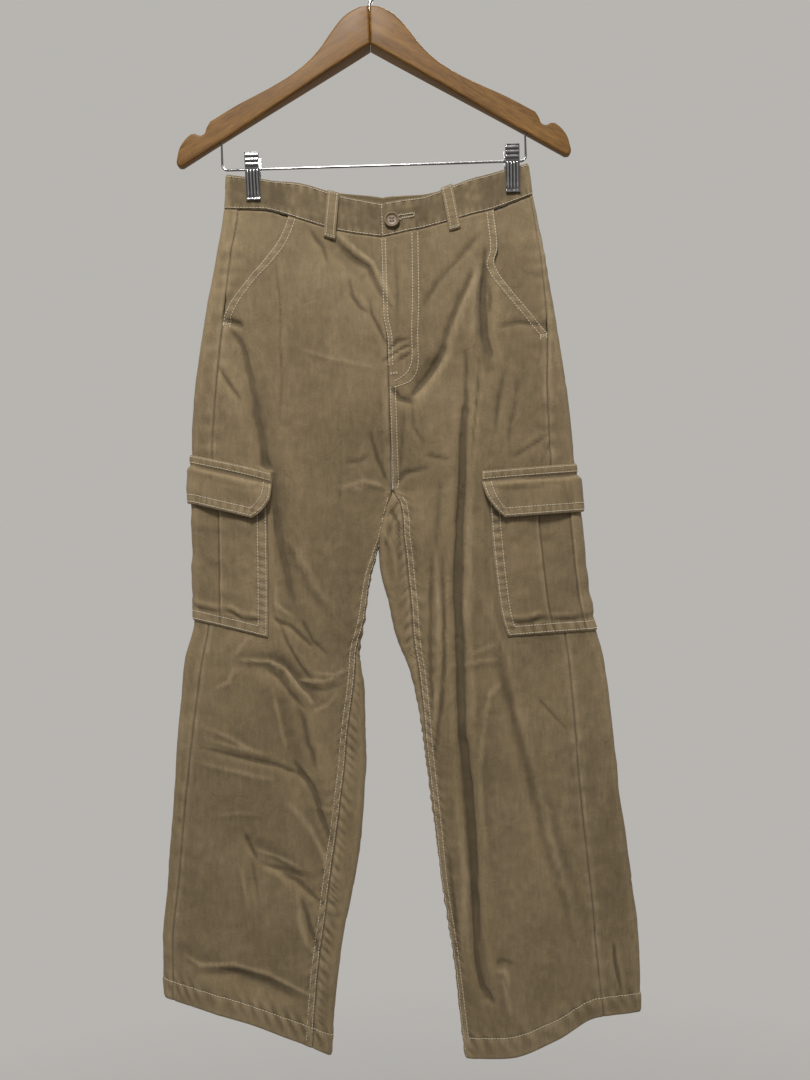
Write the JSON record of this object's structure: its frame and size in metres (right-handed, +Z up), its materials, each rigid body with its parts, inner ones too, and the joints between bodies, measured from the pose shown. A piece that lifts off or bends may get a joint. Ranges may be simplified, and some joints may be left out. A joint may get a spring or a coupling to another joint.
{
  "type": "cargo pants on a clip hanger",
  "caption": "Wide-leg cotton cargo pants with flapped thigh pockets and pale top-stitching, clipped by the waistband to a wooden hanger.",
  "frame": {"origin": "inside top of the hanger's hook, where a rail or peg holds it", "axes": "+Z up, -Y towards the viewer of the garment's front, +X to that viewer's right"},
  "size_m": [0.5338, 0.0618, 1.2439],
  "materials": {
    "cloth": "khaki cotton twill, washed, matt",
    "thread": "pale cream top-stitching thread",
    "button": "brown four-hole button, semi-matt",
    "wood": "orange-brown beech under satin lacquer",
    "metal": "bright plated steel wire and sheet"
  },
  "bodies": {
    "root": {"front_left": "cloth", "front_right": "cloth", "back_left": "cloth", "back_right": "cloth", "pocket_facing_left": "cloth", "pocket_facing_right": "cloth", "fly_shield": "cloth", "waistband": "cloth", "belt_loop_front_left": "cloth", "belt_loop_front_right": "cloth", "belt_loop_back_left": "cloth", "belt_loop_back_right": "cloth", "belt_loop_centre_back": "cloth", "cargo_pocket_left": "cloth", "cargo_flap_left": "cloth", "cargo_pocket_right": "cloth", "cargo_flap_right": "cloth", "button": "button", "hanger_arm_left": "wood", "hanger_arm_right": "wood", "hanger_hook": "metal", "hanger_bar": "metal", "clip_back_left": "metal", "clip_front_left": "metal", "clip_spring_left": "metal", "clip_back_right": "metal", "clip_front_right": "metal", "clip_spring_right": "metal"}
  },
  "joints": []
}
